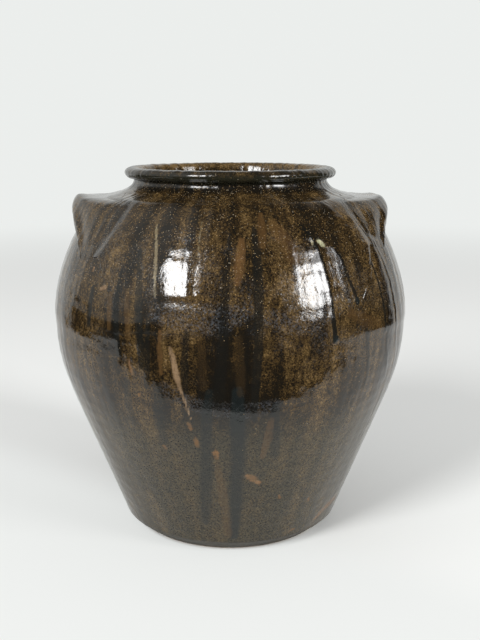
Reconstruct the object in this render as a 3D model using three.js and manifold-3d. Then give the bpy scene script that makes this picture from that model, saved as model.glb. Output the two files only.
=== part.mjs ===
// A five-gallon stoneware storage jar, modelled in millimetres with +Z up.
// The origin is the centre of the foot, on the surface that the jar stands on.
// The jar is built as a potter builds one this large: a lower section thrown with its floor,
// a shoulder section set on it in a tongue-and-groove seam at the belly, a collar ring that
// is turned into the neck and the rolled rim, and two slab lugs pressed onto the shoulder.
import * as THREE from 'three';
import { mergeVertices } from 'three/addons/utils/BufferGeometryUtils.js';
import Module from 'manifold-3d';

const wasm = await Module();
wasm.setup();

// Heights, stacked from the ground up
const footBevelHeight = 12;
const lowerWallHeight = 200;
const shoulderHeight = 118;
const collarHeight = 14.5;
const rimHeight = 10.6;
const rimTuck = 0.9;

// Radii of the outer wall
const footRadius = 92.5;
const footBevelWidth = 15;
const bellyRadius = 172.2;
const shoulderLedge = 1;
const collarRadius = 117;
const neckRadius = 93.5;
const rimRadius = 102.3;

// Clay thickness
const wallThickness = 9;
const floorThickness = 13;
const throatThickness = 9;
const throatRoll = 2;

// The floor's shallow hollow underneath, which leaves a flat ring to stand on
const standingRingWidth = 18;
const underHollowDepth = 1.6;
const underHollowSlope = 5;
const floorCornerReach = 16;

// How the long walls swell, as shares of the height and width that each one spans
const lowerSwell = { firstOut: 0.8, firstUp: 0.67, lastUp: 0.765 };
const shoulderSwell = { firstUp: 0.51, lastOut: 0.33, lastUp: 0.97 };
const neckSwell = { firstOut: 0.38, firstUp: 0.12, lastUp: 0.41 };

// Seams: the slip between two pieces, and the V that keys one ring into the next
const slipGap = 0.3;
const keyDepth = 3.5;
const keyWidth = 4.4;

// Lug handles, each a slab drawn out of the shoulder that droops and thins to a tip at both ends.
// Heights are measured down from the top of the shoulder section, and angles in degrees round the
// jar from the middle of the lug. The lip is the slab's outer edge: its reach is measured from
// the wall, and the upper and lower halves of its height are given apart. A higher thinning keeps
// the slab thick nearer to its tips.
const leftLug = {
  name: 'lug_handle_left',
  bearing: Math.PI,
  tipAngle: 31,
  tipDrop: 56,
  tipStand: 4,
  rootDrop: 2,
  rootSpread: 16,
  rootDroop: 3.1,
  lipReach: 21.5,
  lipDrop: 10.5,
  lipDroop: 2.3,
  lipUpper: 8,
  lipLower: 7,
  thinning: 4,
};
const rightLug = {
  ...leftLug,
  name: 'lug_handle_right',
  bearing: 0,
  tipAngle: 29.5,
  tipDrop: 49,
  tipStand: 2.6,
  rootSpread: 9,
  rootDroop: 2.6,
  lipReach: 19.3,
  lipDrop: 12,
  lipDroop: 1.9,
  lipUpper: 8.7,
  lipLower: 9,
  thinning: 6,
};
const lipNose = 5;
const lugCrown = 2.4;
const lugHollow = 3;
const lugUnderFall = 8;
const lugRootBury = 6;
const lugTipSink = 7;

// How finely the curves are cut into facets
const roundSteps = 64;
const wallSteps = 12;
const rimTurnSteps = 6;
const rimInnerSteps = 2;
const lugSteps = 30;
const lugSectionSteps = 22;

// Glaze colours seen on the pieces
const glazeBrown = 0x3a2a1b;
const glazeOlive = 0x40331f;
const glazeDark = 0x231c16;

// Places that follow from the sizes above
const jointHeight = footBevelHeight + lowerWallHeight;
const shoulderTop = jointHeight + shoulderHeight;
const neckHeight = shoulderTop + collarHeight;
const rimCentreHeight = neckHeight + rimTuck + rimHeight / 2;

const at = (radius, height) => new THREE.Vector2(radius, height);
const smooth = (curve, steps) => curve.getPoints(steps);

// A cubic curve's points with the outward normal at each
function wallLine(curve, steps) {
  const line = [];
  for (let i = 0; i <= steps; i++) {
    const point = curve.getPoint(i / steps);
    const along = curve.getTangent(i / steps);
    line.push({ point, along, out: at(along.y, -along.x) });
  }
  return line;
}

// The same line moved into the clay by a thickness, which may change along it
const inset = (line, thickness) =>
  line.map(({ point, out }, i) => point.clone().addScaledVector(out, -thickness(i / (line.length - 1))));

const footTopRadius = footRadius + footBevelWidth;
const lowerCurve = new THREE.CubicBezierCurve(
  at(footTopRadius, footBevelHeight),
  at(
    footTopRadius + lowerSwell.firstOut * (bellyRadius - footTopRadius),
    footBevelHeight + lowerSwell.firstUp * lowerWallHeight,
  ),
  at(bellyRadius, footBevelHeight + lowerSwell.lastUp * lowerWallHeight),
  at(bellyRadius, jointHeight),
);
const ledgeRadius = bellyRadius + shoulderLedge;
const shoulderCurve = new THREE.CubicBezierCurve(
  at(ledgeRadius, jointHeight),
  at(ledgeRadius, jointHeight + shoulderSwell.firstUp * shoulderHeight),
  at(
    collarRadius + shoulderSwell.lastOut * (ledgeRadius - collarRadius),
    jointHeight + shoulderSwell.lastUp * shoulderHeight,
  ),
  at(collarRadius, shoulderTop),
);
const neckCurve = new THREE.CubicBezierCurve(
  at(collarRadius, shoulderTop),
  at(
    collarRadius - neckSwell.firstOut * (collarRadius - neckRadius),
    shoulderTop + neckSwell.firstUp * collarHeight,
  ),
  at(neckRadius, shoulderTop + neckSwell.lastUp * collarHeight),
  at(neckRadius, neckHeight),
);

// The edge of a ring where it meets the next one, from its outer corner to its inner corner:
// flat, with a V in the middle that points up for a tongue and down into the clay for a groove.
// It is lifted along the wall by half the slip on either side of the seam. Where one ring's
// face stands proud of the other's, its V is set that much deeper so the two still meet.
function seamEdge({ point, along, out }, lift, proud = 0) {
  const corner = (depthIn, rise) =>
    point.clone().addScaledVector(out, -depthIn).addScaledVector(along, rise + lift);
  const keyMiddle = wallThickness / 2 + proud;
  return [
    corner(0, 0),
    corner(keyMiddle - keyWidth / 2, 0),
    corner(keyMiddle, -keyDepth),
    corner(keyMiddle + keyWidth / 2, 0),
    corner(wallThickness, 0),
  ];
}

// A ring's solid: its outline turned about the upright axis, with the clay on the outline's left
function turned(outline) {
  const start = outline[0];
  const closed = start.x < 1e-6 ? outline : [...outline, start.clone()];
  const body = new THREE.LatheGeometry(closed, roundSteps).rotateX(Math.PI / 2);
  body.deleteAttribute('uv');
  body.deleteAttribute('normal');
  return mergeVertices(body, 1e-4);
}

// The lower section: a bevelled foot, a floor with a shallow hollow under it, and the flaring wall
function lowerSectionOutline() {
  const outer = wallLine(lowerCurve, wallSteps);
  const inner = inset(outer, () => wallThickness);
  const innerWall = inner.filter(({ y }) => y > floorThickness + floorCornerReach);
  const cornerStart = innerWall[0];
  const hollowRadius = footRadius - standingRingWidth;
  const corner = new THREE.QuadraticBezierCurve(
    cornerStart,
    at(cornerStart.x - floorCornerReach * 0.3, floorThickness),
    at(cornerStart.x - floorCornerReach * 1.6, floorThickness),
  );
  return [
    at(0, underHollowDepth),
    at(hollowRadius - underHollowSlope, underHollowDepth),
    at(hollowRadius, 0),
    at(footRadius, 0),
    ...outer.slice(0, -1).map(({ point }) => point),
    ...seamEdge(outer.at(-1), -slipGap / 2),
    ...innerWall.slice(1, -1).reverse(),
    ...smooth(corner, 4),
    at(0, floorThickness),
  ];
}

// The shoulder section: from the belly seam, in over the shoulder, to the collar seam
function shoulderOutline() {
  const outer = wallLine(shoulderCurve, wallSteps);
  const inner = inset(outer, () => wallThickness);
  const lowerEdge = seamEdge(outer[0], slipGap / 2, shoulderLedge).reverse();
  const upperEdge = seamEdge(outer.at(-1), -slipGap / 2);
  return [
    ...lowerEdge,
    ...outer.slice(1, -1).map(({ point }) => point),
    ...upperEdge,
    ...inner.slice(1, -1).reverse(),
  ];
}

// The collar ring: the neck, the rolled rim over it, and the throat inside
function collarOutline() {
  const outer = wallLine(neckCurve, Math.ceil(wallSteps / 2));
  const throatRadius = neckRadius - throatThickness;
  const rollCentreRadius = neckRadius + 1;
  const rollOut = rimRadius - rollCentreRadius;
  const rollIn = rollCentreRadius - throatRadius - throatRoll;
  const roll = [];
  for (let i = 0; i <= rimTurnSteps + rimInnerSteps; i++) {
    const turn = Math.PI * (i / rimTurnSteps - 0.5);
    const reach = Math.cos(turn) > 0 ? rollOut : rollIn;
    roll.push(at(rollCentreRadius + reach * Math.cos(turn), rimCentreHeight + (rimHeight / 2) * Math.sin(turn)));
  }
  const foot = outer[0];
  const innerFoot = foot.point.clone().addScaledVector(foot.out, -wallThickness);
  const throat = new THREE.CubicBezierCurve(
    at(throatRadius, neckHeight + 1),
    at(throatRadius, shoulderTop + neckSwell.lastUp * collarHeight - wallThickness * 0.75),
    innerFoot.clone().addScaledVector(foot.along, neckSwell.firstOut * (collarRadius - neckRadius)),
    innerFoot,
  );
  return [
    ...seamEdge(foot, slipGap / 2).reverse(),
    ...outer.slice(1).map(({ point }) => point),
    ...roll,
    ...smooth(throat, Math.ceil(wallSteps / 2)).slice(0, -1),
  ];
}

// The outer radius of the shoulder and neck at a height, read along their curves
const shoulderLine = [
  ...smooth(shoulderCurve, 60),
  ...smooth(neckCurve, 20).slice(1),
];
function wallRadius(height) {
  const next = shoulderLine.findIndex(({ y }) => y >= height);
  if (next < 0) return shoulderLine.at(-1).x;
  if (next === 0) return shoulderLine[0].x;
  const [low, high] = [shoulderLine[next - 1], shoulderLine[next]];
  return low.x + ((high.x - low.x) * (height - low.y)) / (high.y - low.y);
}

// A lug's section at a place along it, from -1 at one tip to 1 at the other, as a smooth closed
// loop: out from its root on the shoulder, over the lip, and back underneath to the wall. Each
// point is set by how far it stands off the wall. Towards the tips the whole loop shrinks and
// sinks into the wall.
function lugSection(lug, place) {
  const far = Math.abs(place);
  const full = 1 - 0.85 * far ** lug.thinning;
  const sink = lugTipSink * far ** 16;
  const lipTurn = THREE.MathUtils.degToRad(lug.tipAngle * place);
  const spread = lug.rootSpread * Math.sin(Math.PI * far ** 1.5);
  const rootTurn = lipTurn + THREE.MathUtils.degToRad(Math.sign(place) * spread);

  const rootHeight = shoulderTop - lug.rootDrop - (lug.tipDrop - lug.rootDrop) * far ** lug.rootDroop;
  const lipHeight = shoulderTop - lug.lipDrop - (lug.tipDrop - lug.lipDrop) * far ** lug.lipDroop;
  const lipRadius = THREE.MathUtils.lerp(
    wallRadius(shoulderTop - lug.lipDrop) + lug.lipReach, wallRadius(lipHeight) + lug.tipStand, far ** 4);
  const topHeight = lipHeight + lug.lipUpper * full;
  const lowHeight = lipHeight - lug.lipLower * full;
  const underHeight = lowHeight - (lugHollow + lugUnderFall * far ** 2) * full;
  const topStand = lipRadius - lipNose * full - wallRadius(topHeight);
  const lowStand = lipRadius - 0.6 * lipNose * full - wallRadius(lowHeight);

  const point = (turn, height, stand) => {
    const radius = wallRadius(height) + stand - sink;
    const bearing = lug.bearing + turn;
    return new THREE.Vector3(radius * Math.cos(bearing), radius * Math.sin(bearing), height);
  };
  const crown = (share) => point(
    THREE.MathUtils.lerp(rootTurn, lipTurn, share),
    THREE.MathUtils.lerp(rootHeight, topHeight, share),
    topStand * share + lugCrown * full,
  );
  return new THREE.CatmullRomCurve3([
    point(rootTurn, rootHeight - lugRootBury * full, -lugRootBury),
    point(rootTurn, rootHeight, -0.5),
    crown(0.35),
    crown(0.7),
    point(lipTurn, topHeight, topStand),
    point(lipTurn, lipHeight, lipRadius - wallRadius(lipHeight)),
    point(lipTurn, lowHeight, lowStand),
    point(lipTurn, (lowHeight + underHeight) / 2 + lugHollow * full, lowStand / 2),
    point(lipTurn, underHeight, -0.5),
    point(lipTurn, underHeight + full, -lugRootBury),
  ], true, 'centripetal').getPoints(lugSectionSteps).slice(0, -1);
}

// A closed solid through a row of like loops, with its two ends filled by fans
function lofted(loops) {
  const count = loops[0].length;
  const points = loops.flat();
  const faces = [];
  for (let row = 0; row + 1 < loops.length; row++)
    for (let i = 0; i < count; i++) {
      const [a, b] = [row * count + i, row * count + ((i + 1) % count)];
      faces.push(a, b, a + count, b, b + count, a + count);
    }
  const middleOf = (loop) =>
    loop.reduce((sum, p) => sum.add(p), new THREE.Vector3()).divideScalar(count);
  const first = points.push(middleOf(loops[0])) - 1;
  const last = points.push(middleOf(loops.at(-1))) - 1;
  const lastRow = (loops.length - 1) * count;
  for (let i = 0; i < count; i++) {
    const j = (i + 1) % count;
    faces.push(first, j, i);
    faces.push(last, lastRow + i, lastRow + j);
  }
  return new THREE.BufferGeometry().setFromPoints(points).setIndex(faces);
}

function toSolid(geometry) {
  const positions = geometry.clone();
  positions.deleteAttribute('normal');
  positions.deleteAttribute('uv');
  const merged = mergeVertices(positions, 1e-4);
  return new wasm.Manifold(new wasm.Mesh({
    numProp: 3,
    vertProperties: new Float32Array(merged.attributes.position.array),
    triVerts: new Uint32Array(merged.index.array),
  }));
}

function toGeometry(solid) {
  const { vertProperties, triVerts } = solid.getMesh();
  return new THREE.BufferGeometry()
    .setAttribute('position', new THREE.BufferAttribute(vertProperties, 3))
    .setIndex(new THREE.BufferAttribute(triVerts, 1));
}

// What a lug is pressed against: the shoulder and neck as one filled body, larger by the slip
function shoulderBody() {
  const skin = [
    ...wallLine(shoulderCurve, wallSteps),
    ...wallLine(neckCurve, Math.ceil(wallSteps / 2)),
  ].map(({ point, out }) => point.clone().addScaledVector(out, slipGap));
  return toSolid(turned([
    at(0, jointHeight),
    ...skin,
    at(0, skin.at(-1).y),
  ]));
}

function lugGeometry(lug) {
  const loops = [];
  for (let i = 0; i <= lugSteps; i++)
    loops.push(lugSection(lug, Math.sin(Math.PI * (i / lugSteps - 0.5))));
  return toGeometry(toSolid(lofted(loops)).subtract(shoulderBody()));
}

function piece(name, geometry, colour, roughness) {
  const mesh = new THREE.Mesh(
    geometry,
    new THREE.MeshStandardMaterial({ color: colour, roughness, metalness: 0 }),
  );
  mesh.name = name;
  geometry.computeVertexNormals();
  return mesh;
}

const jar = new THREE.Group();
jar.add(
  piece('lower_section', turned(lowerSectionOutline()), glazeBrown, 0.22),
  piece('shoulder_section', turned(shoulderOutline()), glazeBrown, 0.14),
  piece('collar_and_rim', turned(collarOutline()), glazeDark, 0.12),
  piece(leftLug.name, lugGeometry(leftLug), glazeOlive, 0.18),
  piece(rightLug.name, lugGeometry(rightLug), glazeOlive, 0.18),
);

export default jar;
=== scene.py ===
import math

import bpy
import numpy as np
from bpy.props import FloatProperty, FloatVectorProperty, IntProperty, PointerProperty
from mathutils import Matrix, Vector
from mathutils.bvhtree import BVHTree


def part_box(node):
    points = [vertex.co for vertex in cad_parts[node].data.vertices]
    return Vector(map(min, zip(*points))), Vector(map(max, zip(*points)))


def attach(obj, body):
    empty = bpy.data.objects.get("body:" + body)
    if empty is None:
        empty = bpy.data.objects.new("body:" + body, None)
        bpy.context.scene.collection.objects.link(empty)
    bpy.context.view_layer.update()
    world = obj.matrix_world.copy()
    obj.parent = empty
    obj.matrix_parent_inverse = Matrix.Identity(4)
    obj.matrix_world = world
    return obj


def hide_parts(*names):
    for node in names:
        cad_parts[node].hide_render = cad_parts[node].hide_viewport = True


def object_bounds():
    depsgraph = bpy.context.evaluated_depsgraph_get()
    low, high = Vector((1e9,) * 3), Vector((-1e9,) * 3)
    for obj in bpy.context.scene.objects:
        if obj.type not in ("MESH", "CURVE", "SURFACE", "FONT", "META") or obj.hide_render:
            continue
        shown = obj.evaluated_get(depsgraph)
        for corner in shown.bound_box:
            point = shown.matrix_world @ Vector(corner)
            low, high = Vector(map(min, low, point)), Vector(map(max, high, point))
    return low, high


bl_info = {
    "name": "Stoneware storage jar",
    "version": (1, 0, 0),
    "blender": (4, 5, 0),
    "location": "3D View > Sidebar > Jar",
    "description": "Builds a wheel-thrown storage jar with two slab lugs under a runny ash glaze",
    "category": "Add Mesh",
}

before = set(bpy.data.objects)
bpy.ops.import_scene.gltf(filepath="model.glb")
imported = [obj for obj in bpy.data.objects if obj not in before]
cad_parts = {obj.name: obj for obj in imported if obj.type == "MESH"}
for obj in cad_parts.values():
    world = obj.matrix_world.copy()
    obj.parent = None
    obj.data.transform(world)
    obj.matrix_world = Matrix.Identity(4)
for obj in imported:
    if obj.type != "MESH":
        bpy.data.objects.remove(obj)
CAD_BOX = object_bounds()
JAR_HEIGHT = CAD_BOX[1].z
BELLY_RADIUS = (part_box("shoulder_section")[1].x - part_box("shoulder_section")[0].x) / 2
FOOT_RADIUS = 0.0925
# The least radius that a bearing is read at, and the step between the points of a mark
NEAR_AXIS, MARK_STEP = 0.004, 0.001

# Glaze marks on the front of the jar. Each is a tone, a strength and a path of points: the bearing
# in degrees from the front towards the right lug, the height and the half width in millimetres.
# Thick runs go from brown-black (0) to blue-black (1).
THICK_RUNS = [
    (0.2, 1, [
        (22, 312, 1.2), (24, 306, 1.8), (26, 292, 2.2), (27, 265, 2.4), (27.4, 237, 2.4), (27.8, 222, 2.6)]),
    (1, 1, [(28, 219.5, 3.3), (28.1, 217.5, 3.2)]),
    (0.3, 0.9, [(32, 292, 1.2), (34, 285, 1.7), (35.2, 268, 1.8), (37, 252, 2.2)]),
    (0.9, 1, [(37.3, 248, 3), (37.4, 246, 2.6)]),
    (0.3, 0.9, [(46, 300, 1.2), (49, 269, 1.7), (50, 243, 1.8), (51, 215, 1.6)]),
    (0.3, 0.8, [(56, 292, 1.5), (58, 262, 2), (59, 230, 2.2), (60, 196, 1.8)]),
    (0.7, 0.8, [(-49, 256, 2.5), (-49, 240, 3.6), (-49, 225, 2.6)]),
    (0.4, 0.8, [(-38, 275, 1.6), (-38, 250, 3), (-37, 216, 3.4), (-36.5, 203, 2.2)]),
    (0.6, 0.7, [(-33, 292, 2), (-31, 270, 3), (-30, 245, 4.2), (-29, 215, 3.6), (-29, 196, 3)]),
    (0.2, 0.7, [
        (-3, 306, 1.6), (-4, 285, 2.6), (-4.5, 260, 3.4), (-5, 225, 4.2), (-6, 190, 5), (-6.6, 160, 4.2)]),
    (0.3, 0.8, [
        (5, 311, 1.8), (5.2, 296, 4), (5, 262, 4.4), (4.6, 222, 4.2), (4, 180, 3.6), (4, 150, 2.5)]),
    (0.5, 0.6, [(-26.5, 236, 2), (-27, 205, 3), (-28, 178, 2.6)]),
    (0.3, 0.6, [(-15, 228, 2.4), (-16, 200, 3.6), (-16, 176, 2.6)]),
    (1, 0.7, [
        (-9, 178, 3), (-10, 160, 5), (-11, 127, 5.2), (-12, 90, 5.6), (-13.6, 56, 5),
        (-14.6, 36, 3)]),
    (1, 0.85, [
        (-1, 178, 5), (-1, 150, 7), (-0.6, 110, 6.6), (-1, 64, 6), (-1.4, 34, 5), (-1.6, 20, 3.6)]),
    (0.9, 0.45, [(-24, 180, 3), (-25.4, 150, 6.2), (-26, 124, 4.4)]),
    (0.9, 0.5, [(-34.6, 182, 3), (-35.6, 160, 4.4), (-36.4, 138, 3.2)]),
    (0.8, 0.5, [(10, 164, 3), (11, 140, 5), (12, 112, 4)]),
    (0.3, 0.8, [(52, 206, 1.4), (54, 184, 1.8), (56, 166, 1.4)]),
    (0.3, 0.8, [(60, 206, 1.4), (62, 180, 1.6), (64, 160, 1.2)]),
    (0.5, 0.6, [(40, 226, 2), (42, 196, 2.4), (43, 170, 1.8)]),
]
# Thin places show the clay through the glaze, from honey brown (0) by orange and tan to cream (1)
THIN_PLACES_AND_REFLECTION = [
    (0.68, 1, [
        (-20, 215, 1.6), (-19.2, 206, 3), (-18.2, 188, 3.3), (-17.4, 178, 2), (-16.2, 164, 1.2),
        (-15, 150, 0.7)]),
    (0.36, 1, [(-8, 117, 3.4), (-8, 113, 3.2)]),
    (0.25, 0.2, [(-8, 106, 3), (-7.4, 92, 4.2), (-6, 64, 5), (-5, 41, 5), (-4.4, 22, 4)]),
    (0.46, 1, [(3, 91, 2.6), (5, 88, 4.2), (7.6, 82, 2.8)]),
    (0.5, 0.9, [(-51, 274, 1.6), (-51, 271, 2)]),
    (0.62, 0.9, [(-45.4, 257, 1.4), (-43.6, 259, 2.4)]),
    (0.1, 0.5, [(-41, 254, 2.6), (-40.4, 240, 3.6), (-40, 226, 3)]),
    (0.1, 0.5, [(-34.4, 256, 2.4), (-33.8, 240, 3.2), (-33, 220, 3)]),
    (0.4, 0.4, [(0.6, 302, 2.8), (0, 290, 5), (-0.6, 278, 5), (-1.2, 268, 3)]),
    (0.2, 0.4, [(8, 321, 3), (7.6, 308, 4.2), (7.2, 297, 3.4)]),
    (1, 1, [(27.2, 299, 2.2), (28.6, 295.5, 3)]),
    (0.9, 0.9, [(24.6, 299, 1.3), (24.8, 294, 1.2)]),
    (0.45, 0.8, [(-33.4, 200, 1.6), (-32.4, 188, 2)]),
    (0.38, 0.8, [(-31, 170, 2), (-31, 168, 1.6)]),
    (0.6, 0.7, [(-30, 156, 2), (-29.6, 153, 1.8)]),
    (0.32, 0.8, [(-26, 119, 2.2), (-25.6, 117, 2)]),
    (0.32, 0.7, [(-14.4, 129, 2.8), (-14, 124, 2.4)]),
    (0.4, 0.6, [(-16, 145, 2.2), (-15.6, 141, 2)]),
    (0.36, 0.85, [(17, 64, 2), (17.6, 62, 2)]),
    (0.36, 0.7, [(33, 53, 1.8), (33.4, 51, 1.6)]),
    (0.3, 0.9, [(44, 22, 3), (48, 28, 4.4), (53, 32, 5), (59, 35, 4)]),
    (0.3, 0.9, [(27, 17, 1.6), (29.6, 19, 2.4)]),
    (0.4, 0.22, [(9.4, 150, 3), (9, 129, 4.2), (8, 111, 3.2)]),
    (0.06, 0.2, [(-11, 224, 3.6), (-11, 204, 5.2), (-11, 182, 4)]),
    (0.05, 0.2, [(-1, 224, 4), (-0.4, 200, 5.4), (0, 176, 4)]),
    (0.15, 0.7, [(-23, 228, 1.8), (-23, 210, 2.6), (-23, 192, 2)]),
    (0.16, 0.3, [(34, 238, 5), (40, 229, 7), (46, 224, 6)]),
    (0.2, 0.3, [(12, 314, 5), (15, 302, 8), (17, 286, 7)]),
    (0.85, 0.4, [(-13, 316, 0.55), (-13, 302, 0.5), (-13, 288, 0.5)]),
    # Partly painted reflection: the left softbox's edge mirrored in a run's ridge, over tan glaze
    (0.8, 0.75, [(-29.6, 312, 1.3), (-28, 300, 1.7), (-26.4, 284, 1.9), (-25, 256, 1.5)]),
]
# Broad patches, from darker (0) to pale and milky (1). The pale ones are painted sheen.
BROAD_DARK_AND_SHEEN = [
    (0, 0.8, [(-3, 232, 16), (-3, 200, 28), (-2, 165, 32), (-2, 140, 22)]),
    (0, 0.4, [(-36, 228, 8), (-38, 200, 14), (-38, 178, 10)]),
    (0, 0.4, [(-4, 134, 26), (-4, 104, 34), (-4, 64, 34), (-4, 30, 26)]),
    (1, 0.5, [(-50, 322, 12), (-48, 305, 15), (-45, 285, 17), (-41, 262, 17), (-38, 246, 12)]),
    (1, 0.3, [(36, 268, 14), (42, 258, 16), (50, 250, 15)]),
    (1, 0.25, [(-12, 286, 12), (-8, 268, 14), (2, 262, 12)]),
    (1, 0.35, [(24, 218, 12), (32, 208, 16), (42, 200, 14)]),
]
# Milky patches where the glaze has broken, from grey (0) to blue (1)
MILKY_AND_SHEEN_PATCHES = [
    (1, 0.7, [(-18, 301, 2.4), (-17.6, 298, 2.2)]),
    # Partly painted sheen: the right softbox mirrored by rough glaze, beside its highlight
    (0.3, 0.75, [(31, 290, 4), (33, 276, 6), (34, 260, 7), (34.4, 246, 5)]),
    (0.5, 0.5, [(13, 272, 5), (14, 256, 7), (15, 240, 6)]),
    (0.7, 0.7, [(-24, 244, 9), (-14, 240, 14), (-6, 240, 14), (0, 244, 8)]),
    (0.7, 0.65, [(8, 240, 8), (14, 236, 12), (20, 236, 12), (26, 238, 7)]),
    (0.4, 0.5, [(-27, 268, 5), (-26, 252, 6)]),
    (0.8, 0.5, [(-22, 178, 7), (-16, 168, 8), (-8, 160, 7), (2, 158, 8), (10, 164, 6)]),
]
# The marks by the glaze tree's input, with the name that their cover is stored under
MARKS = {
    "Thick Runs": ("thick_run", THICK_RUNS),
    "Thin Places": ("thin_place", THIN_PLACES_AND_REFLECTION),
    "Milky Patches": ("milky_patch", MILKY_AND_SHEEN_PATCHES),
    "Broad Flows": ("broad_flow", BROAD_DARK_AND_SHEEN),
}


def arithmetic(operation, swapped=False):
    """A method for Wire that adds one arithmetic node."""
    def combined(wire, other):
        return wire.maker.combine(operation, *((other, wire) if swapped else (wire, other)))

    return combined


class Wire:
    """A socket's value in a node tree, which takes plain arithmetic."""

    def __init__(self, maker, socket):
        self.maker, self.socket = maker, socket

    __add__ = __radd__ = arithmetic("ADD")
    __mul__ = __rmul__ = arithmetic("MULTIPLY")
    __sub__, __rsub__ = arithmetic("SUBTRACT"), arithmetic("SUBTRACT", swapped=True)
    __truediv__, __rtruediv__ = arithmetic("DIVIDE"), arithmetic("DIVIDE", swapped=True)

    @property
    def kind(self):
        return "FLOAT_VECTOR" if self.socket.type == "VECTOR" else "FLOAT"


class TreeMaker:
    """Adds nodes to a tree and wires them, for shaders and for geometry alike."""

    def __init__(self, tree):
        self.tree = tree

    def node(self, kind, inputs=(), **settings):
        made = self.tree.nodes.new(kind)
        for name, value in settings.items():
            setattr(made, name, value)
        for name, value in dict(inputs).items():
            self.feed(self.socket(made.inputs, name), value)
        return made

    def socket(self, sockets, name):
        if isinstance(name, int):
            return sockets[name]
        return next(s for s in sockets if s.name == name and s.enabled)

    def feed(self, socket, value):
        if isinstance(value, Wire):
            self.tree.links.new(value.socket, socket)
            return
        if socket.type in {"VECTOR", "RGBA"} and isinstance(value, (int, float)):
            value = (value,) * len(socket.default_value)
        if socket.type == "RGBA" and len(value) == 3:
            value = (*value, 1.0)
        socket.default_value = value

    def out(self, node, name=0):
        return Wire(self, self.socket(node.outputs, name))

    def get(self, kind, inputs=(), output=0, **settings):
        """The output of a new node."""
        return self.out(self.node(kind, inputs, **settings), output)

    def math(self, operation, *values):
        return self.get("ShaderNodeMath", enumerate(values), operation=operation)

    def combine(self, operation, *values):
        if any(isinstance(v, Wire) and v.kind == "FLOAT_VECTOR" for v in values):
            return self.get("ShaderNodeVectorMath", enumerate(values), operation=operation)
        return self.math(operation, *values)

    def larger(self, first, second):
        return self.math("MAXIMUM", first, second)

    def length(self, vector):
        return self.get("ShaderNodeVectorMath", {0: vector}, "Value", operation="LENGTH")

    def clamp(self, value):
        return self.get("ShaderNodeClamp", {"Value": value})

    def step(self, value, low, high, to_low=0.0, to_high=1.0):
        """A smooth rise from to_low to to_high while the value goes from low to high."""
        return self.get("ShaderNodeMapRange", {
            "Value": value, "From Min": low, "From Max": high, "To Min": to_low, "To Max": to_high,
        }, "Result", interpolation_type="SMOOTHSTEP")

    def mix(self, share, first, second):
        """A colour that goes from the first to the second."""
        return self.get(
            "ShaderNodeMix", {0: share, 6: first, 7: second}, 2, data_type="RGBA", clamp_factor=True)

    def blend(self, share, first, second):
        """A shader that goes from the first to the second."""
        return self.get("ShaderNodeMixShader", {0: share, 1: first, 2: second})

    def split(self, vector):
        made = self.node("ShaderNodeSeparateXYZ", {0: vector})
        return [self.out(made, axis) for axis in "XYZ"]

    def join(self, x, y, z):
        return self.get("ShaderNodeCombineXYZ", {"X": x, "Y": y, "Z": z})

    def around_axis(self, place):
        """A place's bearing as x and y on a circle as wide as the belly, its height and its radius."""
        x, y, z = self.split(place)
        radius = self.larger(self.length(self.join(x, y, 0.0)), NEAR_AXIS)
        return x / radius * BELLY_RADIUS, y / radius * BELLY_RADIUS, z, radius

    def noise(self, place, size, detail=2.0, roughness=0.5, seed=None):
        """Soft noise about 0.5, with features about as wide as size in metres."""
        inputs = {"Vector": place, "Scale": 1.0 / size, "Detail": detail, "Roughness": roughness}
        if seed is None:
            return self.get("ShaderNodeTexNoise", inputs)
        return self.get("ShaderNodeTexNoise", {**inputs, "W": seed}, noise_dimensions="4D")

    def cells(self, place, size):
        """Cells about as wide as size: the distance to their middles, and three random values for each."""
        made = self.node("ShaderNodeTexVoronoi", {"Vector": place, "Scale": 1.0 / size, "Randomness": 1.0})
        return self.out(made, "Distance"), self.split(self.out(made, "Color"))

    def ramp(self, value, stops):
        made = self.node("ShaderNodeValToRGB", {0: value})
        while len(made.color_ramp.elements) < len(stops):
            made.color_ramp.elements.new(0.5)
        for element, (place, colour) in zip(made.color_ramp.elements, stops):
            element.position = place
            element.color = (*colour, 1.0)
        return self.out(made)

    def position(self):
        return self.get("GeometryNodeInputPosition")

    def stored(self, label, kind="FLOAT"):
        """What a geometry stores under a name."""
        return self.get("GeometryNodeInputNamedAttribute", {"Name": label}, "Attribute", data_type=kind)

    def sampled(self, geometry, source, index):
        """What the source is at one point of a geometry."""
        return self.get("GeometryNodeSampleIndex", {
            "Geometry": geometry, "Value": source, "Index": index}, "Value", data_type=source.kind)

    def change(self, geometry, kind, inputs=(), **settings):
        """The geometry after one more geometry node."""
        return self.get("GeometryNode" + kind, {0: geometry, **dict(inputs)}, **settings)

    def store(self, geometry, **values):
        """The geometry with values stored at its points."""
        for label, value in values.items():
            geometry = self.change(
                geometry, "StoreNamedAttribute", {"Name": label, "Value": value}, data_type=value.kind,
                domain="POINT")
        return geometry


def blank_tree(owner):
    """The maker of a material's or world's tree, emptied."""
    owner.use_nodes = True
    owner.node_tree.nodes.clear()
    return TreeMaker(owner.node_tree)


def new_group(kind, name, inputs, outputs):
    """The maker of a new node group with named sockets, and its inputs as wires."""
    tree = bpy.data.node_groups.new(name, kind + "NodeTree")
    for label, (socket, default) in inputs.items():
        made = tree.interface.new_socket(label, in_out="INPUT", socket_type="NodeSocket" + socket)
        if default is not None:
            made.default_value = default
    for label, socket in outputs.items():
        tree.interface.new_socket(label, in_out="OUTPUT", socket_type="NodeSocket" + socket)
    maker = TreeMaker(tree)
    source = maker.node("NodeGroupInput")
    return maker, {label: maker.out(source, label) for label in inputs}


def end_group(maker, values):
    maker.node("NodeGroupOutput", values)
    return maker.tree


def shared_group(name, make):
    """A node group by name, made the first time that it is wanted."""
    return bpy.data.node_groups.get(name) or make()


def placed(name, data):
    """A new object in the scene."""
    made = bpy.data.objects.new(name, data)
    bpy.context.scene.collection.objects.link(made)
    return made


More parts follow.
